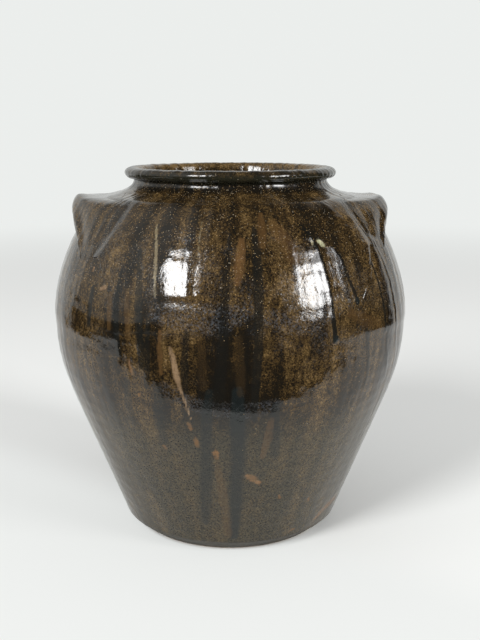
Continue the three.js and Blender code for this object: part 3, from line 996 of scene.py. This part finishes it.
# Radii between which the rim's inside turns to its outside
RIM_OUTSIDE = (0.0925, 0.0945)


def glaze_material(name, c, tone, streak=1.0):
    """A runny dark ash glaze over stoneware, with bare clay where no glaze was laid."""
    material = bpy.data.materials.new(name)
    m = blank_tree(material)
    place = m.get("ShaderNodeTexCoord", output="Object")

    def group(name, at=place, **inputs):
        return m.node("ShaderNodeGroup", {"Object Place": at, **inputs},
                      node_tree=shared_group(name, SHADER_GROUPS[name]))

    def stored(label, output="Fac"):
        return m.get("ShaderNodeAttribute", output=output, attribute_name=label)

    where = group("Place on the jar")
    spread, height, radius = (m.out(where, output) for output in ("Spread", "Height", "Radius"))
    thickness, glazed, pooled, handle = (stored(n) for n in ("thickness", "glazed", "pooled", "handle"))
    run, run_tone, run_strength = m.split(stored("thick_run", "Vector"))
    thin, thin_tone, thin_strength = m.split(stored("thin_place", "Vector"))
    milky, milky_tone, milky_strength = m.split(stored("milky_patch", "Vector"))
    broad_patch, broad_patch_tone, broad_patch_strength = m.split(stored("broad_flow", "Vector"))

    fine = m.noise(spread, 0.006, 2, 0.6)
    mottle = m.noise(place, 0.0018, 3, 0.7)
    crumb = m.noise(place, 0.0009, 2, 0.7, seed=3.0)
    blotch = m.noise(place, 0.007, 3, 0.6, seed=2.0)
    cloud = m.noise(place, 0.03, 2, seed=6.0)
    ragged = m.noise(place, 0.004, 4, 0.7, seed=8.0) - 0.5
    outside = m.step(radius, *RIM_OUTSIDE)
    band = {label: m.step(height, *heights) for label, heights in GLAZE_BANDS.items()}
    lip, foot, low = band["lip"], band["foot"], band["low"]
    rim = band["rim"] * outside
    # Painted shade: the glaze is darkened in the hollow under the rim's overhang
    groove = band["groove"] * band["under_rim"] * outside
    collar = band["collar"] * (1.0 - rim)

    # Broad patches: pale ones are painted sheen that lightens the colour; dark ones darken it
    broad_patch_cover = m.step(broad_patch + ragged * 0.3, 0.0, 1.0) * broad_patch_strength
    painted_sheen = broad_patch_cover * broad_patch_tone
    deep = broad_patch_cover * (1.0 - broad_patch_tone)
    streaks = (fine - 0.5) * (0.7 - low * 0.45 - band["high"] * 0.3) * streak
    shade = 0.41 + tone + (0.5 - thickness) * 0.36 + streaks + handle * 0.05
    shade += (mottle - 0.5) * 1.5 + (crumb - 0.5) * 1.3 + (blotch - 0.5) * 0.9 + (cloud - 0.5) * 0.3
    shade += painted_sheen * 0.1 - pooled * 0.1 - deep * 0.3 + collar * 0.1
    # Painted reflection: the top of the rolled rim is lightened, as if it mirrored the pale table behind
    shade += lip * 0.3 - rim * 0.3 - groove * 0.35 - foot * 0.2
    colour = m.ramp(m.clamp(shade), [
        (0.0, c.black), (0.3, c.dark), (0.52, c.brown), (0.74, c.amber), (1.0, c.gold)])
    colour = m.mix(low * 0.6 * m.step(mottle + (crumb - 0.5) * 0.4, 0.3, 0.65), colour, c.olive)
    # The rim's top also takes less of the green, for the same painted reflection
    colour = m.mix(rim * (0.7 - lip * 0.45), colour, c.rim_green)

    # Milky film: the glaze's bloom, and painted sheen on the pale broad patches and by the right highlight
    broken = m.noise(place, 0.0018, 3, 0.75, seed=11.0)
    patch = m.step(cloud, 0.5, 0.72) * band["bloom"] * band["below_neck"] * 0.5
    patch = m.larger(patch, m.step(milky + ragged * 0.8, 0.2, 0.9) * milky_strength)
    patch = m.larger(patch, painted_sheen)
    bloom_and_sheen = m.step(broken, 0.44, 0.66) * patch
    colour = m.mix(bloom_and_sheen * 0.6, colour, m.mix(milky_tone, c.grey_bloom_and_sheen, c.blue_bloom_and_sheen))

    run_mask = m.step(run + ragged * 0.5, 0.3 - low * 0.25, 0.75 + low * 0.25) * run_strength
    run_colour = m.mix(run_tone, c.black, c.blue_black)
    colour = m.mix(run_mask * (0.95 - low * 0.1 + (mottle - 0.5) * 0.5), colour, run_colour)

    # Thin places, and the streak of painted reflection beside the left highlight
    thin_mask = m.step(thin + ragged * 1.5 + (fine - 0.5) * 0.8, 0.35, 1.0) * thin_strength
    thin_colour = m.ramp(thin_tone, [(0.0, c.amber), (0.36, c.orange), (0.66, c.tan), (1.0, c.cream)])
    thin_colour = m.mix(m.step(blotch, 0.35, 0.65) * 0.4, thin_colour, c.brown)
    colour = m.mix(thin_mask * (0.9 - m.step(mottle, 0.45, 0.7) * 0.5), colour, thin_colour)

    density = (0.01 + band["upper"] * 0.42 + collar * 0.35) * m.step(cloud, 0.3, 0.7, 0.4, 1.0)
    density *= 1.0 - rim * 0.7
    small = group("Crystal specks", Spacing=0.0012, Size=0.3, Share=density)
    large = group("Crystal specks", place + (0.3, 0.1, 0.2), Spacing=0.0045, Size=0.09, Share=density * 0.3)
    crystal_and_glint = m.larger(m.out(small, "Mask") * 0.6, m.out(large, "Mask") * 0.8)
    # The white specks are partly painted glints of the lamps on the specks' facets
    crystal_and_glint_colour = m.mix(m.step(m.out(small, "Tint"), 0.55, 0.9), c.crystal_gold, c.white_crystal_and_glint)
    colour = m.mix(crystal_and_glint, colour, crystal_and_glint_colour)

    line = m.step(glazed + ragged * 0.7, 0.25, 0.55)
    grit = m.noise(place, 0.0012, 3, 0.7, seed=13.0)
    scorch = m.noise(place, 0.025, 3, 0.6, seed=14.0)
    clay = m.mix(m.step(scorch, 0.4, 0.68), c.clay, c.scorched_clay)
    clay = m.mix(m.step(grit, 0.55, 0.75) * 0.5, clay, c.dark)
    colour = m.mix(line, clay, colour)

    dull = m.step(m.noise(place, 0.0015, 2, 0.6, seed=17.0), 0.5, 0.64)
    dull *= m.step(cloud + painted_sheen * 0.4 + patch * 0.3, 0.4, 0.75)
    gloss = 0.055 + (mottle - 0.4) * 0.06 + bloom_and_sheen * 0.16 + crystal_and_glint * 0.2 + thin_mask * 0.12
    gloss += dull * 0.2 + foot * 0.45 + lip * 0.12 + groove * 0.14
    rough = 0.75 + (m.larger(gloss, 0.03) - 0.75) * line

    skin = group("Glaze skin", Peel=1.6 + low * 0.8, Pebble=0.38 + patch * 0.6, Pits=m.step(cloud, 0.3, 0.7))
    clay_height = (grit - 0.5) * 1.6
    glaze_height = m.out(skin) + crystal_and_glint * 0.15 + (fine - 0.5) * 0.25
    surface = clay_height + (glaze_height - clay_height) * line
    bump = m.get("ShaderNodeBump", {"Strength": 1.0, "Distance": 0.0002, "Height": surface})
    shader = m.get("ShaderNodeBsdfPrincipled", {
        "Base Color": colour, "Roughness": rough, "IOR": 1.5, "Normal": bump})
    m.node("ShaderNodeOutputMaterial", {"Surface": shader})
    return material


# Settings that a user would change

def length(name, description, default):
    return FloatProperty(
        name=name, description=description, default=default, min=0.0, unit="LENGTH", precision=4)


def power(name, description, default):
    return FloatProperty(name=name, description=description, default=default, min=0.0, unit="POWER")


def colour(name, description, default):
    return FloatVectorProperty(
        name=name, description=description, default=default, size=3, subtype="COLOR", min=0.0, max=1.0)


class JarSizes(bpy.types.PropertyGroup):
    """Sizes of the clay body and of its glaze."""

    foot_radius: length("Foot radius", "Radius of the ring that the jar stands on", FOOT_RADIUS)
    foot_bevel: length("Foot bevel width", "How far the bevel widens the foot", 0.015)
    foot_bevel_height: length("Foot bevel height", "Height of the bevel above the ground", 0.012)
    seam_height: length("Belly seam height", "Height where the shoulder section is set on", 0.212)
    belly_radius: length("Belly radius", "Largest radius of the wall", BELLY_RADIUS)
    belly_ledge: length("Belly ledge", "How far the shoulder stands proud at the seam", 0.001)
    collar_height: length("Collar height", "Height where the collar is set on", 0.330)
    collar_radius: length("Collar radius", "Radius of the wall at the collar seam", 0.117)
    neck_height: length("Neck height", "Height of the neck under the rim", 0.0145)
    neck_radius: length("Neck radius", "Radius of the neck under the rim", 0.0935)
    rim_radius: length("Rim radius", "Radius of the rolled rim", 0.1023)
    wall: length("Wall thickness", "Thickness of the clay wall", 0.009)
    floor: length("Floor thickness", "Thickness of the floor", 0.013)
    ring_pitch: length("Throwing ring pitch", "Rise of the throwing spiral in a turn", 0.013)
    ring_depth: length("Throwing ring depth", "Height of the throwing rings", 0.00017)
    wobble: length("Wobble", "How far the wall strays from round", 0.0016)
    run_width: length("Run width", "Width of the glaze runs", 0.016)
    run_height: length("Run height", "How far the glaze runs stand up", 0.00042)
    hand_relief: length("Hand relief", "How far the potter's hands left the wall uneven", 0.0006)
    turns: IntProperty(name="Turns", description="Facets round each ring", default=576, min=64, max=800)


class GlazeColours(bpy.types.PropertyGroup):
    """Colours of the glaze, its marks and the clay."""

    black: colour("Thick glaze", "Where the glaze pools thickest", (0.007, 0.006, 0.0045))
    dark: colour("Dark glaze", "Dark bands between the runs", (0.0120, 0.0085, 0.0045))
    brown: colour("Brown glaze", "The glaze's main brown", (0.031, 0.0190, 0.0078))
    amber: colour("Amber glaze", "Thin streaks of the glaze", (0.064, 0.0395, 0.0145))
    gold: colour("Golden glaze", "The thinnest streaks", (0.15, 0.095, 0.038))
    blue_black: colour("Blue-black glaze", "Thick runs that turn blue", (0.0095, 0.0125, 0.0125))
    rim_green: colour("Rim glaze", "Green-black glaze that pooled on the rim", (0.018, 0.0185, 0.0115))
    olive: colour("Olive glaze", "The duller glaze low on the jar", (0.075, 0.064, 0.038))
    orange: colour("Orange mark", "Glaze burnt thin over clay", (0.20, 0.095, 0.03))
    tan: colour("Tan mark", "Bare streaks in the glaze", (0.24, 0.15, 0.085))
    cream: colour("Cream mark", "Pale spots in the glaze", (0.40, 0.39, 0.24))
    # Colours of the milky film, which also carries the painted sheen
    grey_bloom_and_sheen: colour("Grey bloom", "Milky patches", (0.10, 0.095, 0.085))
    blue_bloom_and_sheen: colour("Blue bloom", "Bluish milky patches", (0.085, 0.10, 0.125))
    crystal_gold: colour("Gold crystals", "Gold specks in the glaze", (0.36, 0.23, 0.09))
    # White specks, partly painted glints of the lamps
    white_crystal_and_glint: colour("White crystals", "White specks in the glaze", (0.46, 0.40, 0.30))
    clay: colour("Bare clay", "Unglazed stoneware", (0.30, 0.22, 0.15))
    scorched_clay: colour("Scorched clay", "Bare clay that the fire darkened", (0.16, 0.085, 0.045))


class StageSettings(bpy.types.PropertyGroup):
    """Light, floor and background."""

    background: colour("Background", "Colour of the backdrop", (0.835, 0.855, 0.84))
    floor_colour: colour("Floor", "Colour of the floor", (0.84, 0.85, 0.835))
    room: colour("Dark room", "What the glaze mirrors beyond the table", (0.012, 0.012, 0.013))
    ambient: FloatProperty(name="Ambient", description="Even light from all round", default=0.55, min=0.0)
    left_wall: FloatProperty(
        name="Left wall", description="How pale the wall is that the glaze mirrors on the left",
        default=0.75, min=0.0, max=1.0)
    left_power: power("Left light", "Power of the left softbox", 138.0)
    right_power: power("Right light", "Power of the right softbox", 125.0)
    bounce_power: power("Right bounce", "Power of the dim panel round the right softbox", 55.0)


def lug_sizes(side):
    """Sizes of a lug; the right one is shorter and has a thicker lip."""
    lug = dict(
        bearing=math.pi, tip_angle=31, tip_drop=0.056, tip_stand=0.004, root_drop=0.002,
        lip_reach=0.0215, lip_drop=0.0095, lip_droop=1.65, lip_upper=0.0092, lip_lower=0.007,
        thinning=4, edge_angle=70, low_angle=52, bank=0.0021,
        bank_heights=(0.245, 0.261, 0.272, 0.285, 0.297, 0.309, 0.321, 0.330),
        bank_bearings=(33.0, 36.0, 38.5, 41.5, 44.0, 46.0, 47.0, 46.0))
    if side == "right":
        lug.update(
            bearing=0.0, tip_angle=29.5, tip_drop=0.049, tip_stand=0.0026,
            lip_reach=0.0193, lip_drop=0.0115, lip_droop=2.5, lip_lower=0.008, thinning=6,
            edge_angle=66, low_angle=48, bank=0.0012,
            bank_bearings=(29.0, 33.0, 37.0, 39.5, 41.5, 42.5, 42.5, 40.5))
    return lug


def glazed_piece(s, mesh, finish, name, node, slot):
    """Glazes a ring or lug and stands it for its CAD node."""
    inputs = {
        "Run Width": s.run_width, "Run Height": s.run_height, "Hand Relief": s.hand_relief, "Finish": finish}
    for label, (stored_as, marks) in MARKS.items():
        guide = stored_as + "_points"
        inputs[label] = bpy.data.objects.get(guide) or mark_points(guide, marks, wall_radius(s))
    mesh = run_tree(mesh, shared_group("Glaze coat", glaze_coat_tree), inputs)
    finished_piece(mesh, name, node, slot)


def ring_body(s, name, pick):
    """One ring of the clay body, turned from its stretches of the outline."""
    stretches = jar_line(s)
    chosen = [dict(stretches[i]) for i in pick]
    if 0 not in pick:
        first = chosen[0]
        end = {key: first[key][:1] for key in ("place", "out", "along")}
        chosen.append(dict(end, outer=first["outer"]))
    tree = shared_group("Thrown ring", thrown_ring_tree)
    inputs = {"Turns": s.turns, "Ring Pitch": s.ring_pitch, "Ring Depth": s.ring_depth, "Wobble": s.wobble}
    return run_tree(outline_mesh(name, chosen), tree, inputs)


def wall_skin(s):
    """The shoulder's and the collar's skins as one, to lay the lugs on."""
    points, faces = [], []
    for pick in ((1, 3), (2,)):
        mesh = ring_body(s, "wall", pick)
        faces += [tuple(v + len(points) for v in f.vertices) for f in mesh.polygons]
        points += [tuple(v.co) for v in mesh.vertices]
        bpy.data.meshes.remove(mesh)
    return Skin(points, faces)


class JAR_OT_lug_handles(bpy.types.Operator):
    """Make the two slab lugs"""

    bl_idname = "jar.lug_handles"
    bl_label = "Lug handles"

    def execute(self, context):
        s, c = context.scene.jar_sizes, context.scene.jar_colours
        radius_at = wall_radius(s)
        finish = glaze_material("lug_ash_glaze", c, tone=0.02)
        wall = wall_skin(s)
        for side in ("left", "right"):
            mesh = lug_mesh(f"lug_{side}", lug_sizes(side), s, radius_at, wall)
            glazed_piece(s, mesh, finish, f"lug_{side}", f"lug_handle_{side}", "lug_glaze")
        return {"FINISHED"}


class RingMaker:
    """Turns one ring, from its stretches of the outline, and glazes it."""

    streak = 1.0

    def execute(self, context):
        s, c = context.scene.jar_sizes, context.scene.jar_colours
        finish = glaze_material(self.finish, c, self.tone, self.streak)
        mesh = ring_body(s, self.piece, self.stretches)
        glazed_piece(s, mesh, finish, self.piece, self.cad_node, self.slot)
        return {"FINISHED"}


class JAR_OT_lower_section(RingMaker, bpy.types.Operator):
    """Throw the lower section with its floor and foot"""

    bl_idname = "jar.lower_section"
    bl_label = "Lower section"
    piece, cad_node, slot = "lower_wall", "lower_section", "body_glaze"
    stretches, finish, tone = (0, 4), "body_ash_glaze_low", 0.02


class JAR_OT_shoulder_section(RingMaker, bpy.types.Operator):
    """Throw the shoulder section"""

    bl_idname = "jar.shoulder_section"
    bl_label = "Shoulder section"
    piece, cad_node, slot = "shoulder_wall", "shoulder_section", "body_glaze"
    stretches, finish, tone = (1, 3), "body_ash_glaze", 0.02


class JAR_OT_collar_and_rim(RingMaker, bpy.types.Operator):
    """Turn the collar, the neck and the rolled rim"""

    bl_idname = "jar.collar_and_rim"
    bl_label = "Collar and rim"
    piece, cad_node, slot = "collar_rim", "collar_and_rim", "rim_glaze"
    stretches, finish, tone, streak = (2,), "rim_ash_glaze", 0.0, 0.6


# The camera, in metres, degrees and pixels of the photograph, and the stage round the jar
CAMERA_PLACE, CAMERA_TILT, CAMERA_TURN = (-0.0471, -0.8982, 0.3957), 12.0975, -3.603
FOCAL_LENGTH, PICTURE_HEIGHT = 912.1, 640
LAMP_DISTANCE, LAMP_AIM = 4.5, (0, 0, 0.2)
FLOOR_HALF = 9
# Where the mirrored table starts behind the jar, as y over the distance from the axis
TABLE_SIDES = (0.49, 0.57)


def softbox(name, bearing, lift, turn, width, height, power):
    """A lamp aimed at the jar, at a bearing from the front and a lift above level in degrees, turned
    about its own facing."""
    b, e, t = (math.radians(v) for v in (bearing, lift, turn))
    facing = Vector((math.sin(b) * math.cos(e), -math.cos(b) * math.cos(e), math.sin(e)))
    right = Vector((0, 0, 1)).cross(facing).normalized()
    up = facing.cross(right)
    across = right * math.cos(t) + up * math.sin(t)
    data = bpy.data.lights.new(name, "AREA")
    data.shape, data.size, data.size_y, data.energy = "ELLIPSE", width, height, power
    lamp = placed(name, data)
    lamp.location = Vector(LAMP_AIM) + facing * LAMP_DISTANCE
    lamp.rotation_euler = Matrix((across, facing.cross(across), facing)).transposed().to_euler()
    lamp.visible_camera = False
    return lamp


def floor_material(stage):
    """A pale floor that fades into the background, and that the glaze mirrors only as far as the
    real table reached. It is open under the foot's hollow, so that light reaches the underside."""
    material = bpy.data.materials.new("pale_floor")
    m = blank_tree(material)
    x, y, _ = m.split(m.get("ShaderNodeTexCoord", output="Object"))
    reach = m.length(m.join(x, y, 0.0))
    # Painted light: front and left of the foot, camera rays see the floor partly as background, thinning its
    # shadow
    front = m.step(y + x * 0.8, 0.04, -0.09) * m.step(reach, FOOT_RADIUS, 0.098) * 0.65
    paths = m.node("ShaderNodeLightPath")
    seen, mirrored = m.out(paths, "Is Camera Ray"), m.out(paths, "Is Glossy Ray")
    behind = m.step(y / reach, *TABLE_SIDES) * m.step(reach, 0.7, 0.9)
    table = m.step(y, -0.287, -0.283) * m.step(x, -0.87, -0.83) * m.step(x, 1.24, 1.18)
    pale = m.larger(m.step(reach, 1.2, 3.0) * m.larger(seen, mirrored), front * seen)
    lit = m.get("ShaderNodeBsdfPrincipled", {
        "Base Color": tuple(stage.floor_colour), "Roughness": 0.7, "Specular IOR Level": 0.0})
    far = m.get("ShaderNodeEmission", {"Color": tuple(stage.background)})
    dark = m.get("ShaderNodeEmission", {"Color": tuple(stage.room)})
    floor = m.blend(mirrored * (1.0 - m.larger(table, behind)), m.blend(pale, lit, far), dark)
    from_below = m.get("ShaderNodeNewGeometry", output="Backfacing")
    open_floor = m.larger(from_below, m.step(reach, 0.088, 0.086))
    floor = m.blend(open_floor, floor, m.get("ShaderNodeBsdfTransparent"))
    m.node("ShaderNodeOutputMaterial", {"Surface": floor})
    return material


def light_world(world, stage):
    """A dark room for the glaze to mirror, with a pale table behind and a pale wall on the left."""
    m = blank_tree(world)
    paths = m.node("ShaderNodeLightPath")
    x, y, z = m.split(m.get("ShaderNodeTexCoord", output="Generated"))
    behind = y / m.length(m.join(x, y, 0.0)) + m.step(x, 0.1, -0.1) * 0.06
    behind = m.step(behind, *TABLE_SIDES) * m.step(z, 0.85, 0.35)
    left_wall = m.step(z * 0.52 - x * 0.85 - y * 0.05, 0.5, 0.95) * stage.left_wall
    pale = tuple(v * 0.95 for v in stage.background)
    mirrored = m.mix(m.larger(behind, left_wall), tuple(stage.room), pale)
    light = m.mix(m.out(paths, "Is Glossy Ray"), (stage.ambient,) * 3, mirrored)
    light = m.mix(m.out(paths, "Is Camera Ray"), light, tuple(stage.background))
    m.node("ShaderNodeOutputWorld", {"Surface": m.get("ShaderNodeBackground", {"Color": light})})


class JAR_OT_stage(bpy.types.Operator):
    """Set up the camera, the lights, the floor and the background"""

    bl_idname = "jar.stage"
    bl_label = "Stage"

    def execute(self, context):
        scene, stage = context.scene, context.scene.jar_stage
        scene.view_settings.view_transform = "Standard"
        data = bpy.data.cameras.new("camera")
        data.lens = FOCAL_LENGTH / PICTURE_HEIGHT * data.sensor_width
        scene.camera = placed("camera", data)
        scene.camera.location = CAMERA_PLACE
        scene.camera.rotation_euler = (math.radians(90 - CAMERA_TILT), 0, math.radians(CAMERA_TURN))

        softbox("left_softbox", -38.8, 31.7, 16.5, 1.12, 1.85, stage.left_power)
        softbox("right_softbox", 52.8, 20.4, -19.0, 1.22, 2.1, stage.right_power)
        dim = softbox("right_bounce", 58.0, 26.0, -19.0, 1.6, 2.4, stage.bounce_power)
        dim.visible_diffuse = False

        far = FLOOR_HALF
        mesh = bpy.data.meshes.new("floor")
        mesh.from_pydata([(-far, -far, 0), (far, -far, 0), (far, far, 0), (-far, far, 0)], [], [(0, 1, 2, 3)])
        mesh.materials.append(floor_material(stage))
        made = placed("floor", mesh)

        scene.world = bpy.data.worlds.new("studio")
        light_world(scene.world, stage)
        return {"FINISHED"}


class JAR_PT_panel(bpy.types.Panel):
    """Lists the jar's sizes, colours and pieces"""

    bl_idname = "JAR_PT_panel"
    bl_label = "Storage jar"
    bl_space_type = "VIEW_3D"
    bl_region_type = "UI"
    bl_category = "Jar"

    def draw(self, context):
        layout = self.layout
        for group in (context.scene.jar_sizes, context.scene.jar_colours, context.scene.jar_stage):
            box = layout.box()
            for name in group.__annotations__:
                box.prop(group, name)
        for operator in OPERATORS:
            layout.operator(operator.bl_idname)


OPERATORS = (
    JAR_OT_lug_handles, JAR_OT_lower_section, JAR_OT_shoulder_section, JAR_OT_collar_and_rim, JAR_OT_stage)
CLASSES = (JarSizes, GlazeColours, StageSettings, *OPERATORS, JAR_PT_panel)
PROPERTIES = dict(jar_sizes=JarSizes, jar_colours=GlazeColours, jar_stage=StageSettings)


def register():
    for cls in CLASSES:
        bpy.utils.register_class(cls)
    for name, group in PROPERTIES.items():
        setattr(bpy.types.Scene, name, PointerProperty(type=group))


def unregister():
    for name in PROPERTIES:
        delattr(bpy.types.Scene, name)
    for cls in reversed(CLASSES):
        bpy.utils.unregister_class(cls)


def clear_guides():
    """Removes the objects that only steered the glaze."""
    for stored_as, _ in MARKS.values():
        guide = bpy.data.objects.get(stored_as + "_points")
        if guide:
            mesh = guide.data
            bpy.data.objects.remove(guide)
            bpy.data.meshes.remove(mesh)


def main():
    register()
    bpy.ops.jar.lug_handles()
    bpy.ops.jar.lower_section()
    bpy.ops.jar.shoulder_section()
    bpy.ops.jar.collar_and_rim()
    bpy.ops.jar.stage()
    clear_guides()


if __name__ == "__main__":
    main()
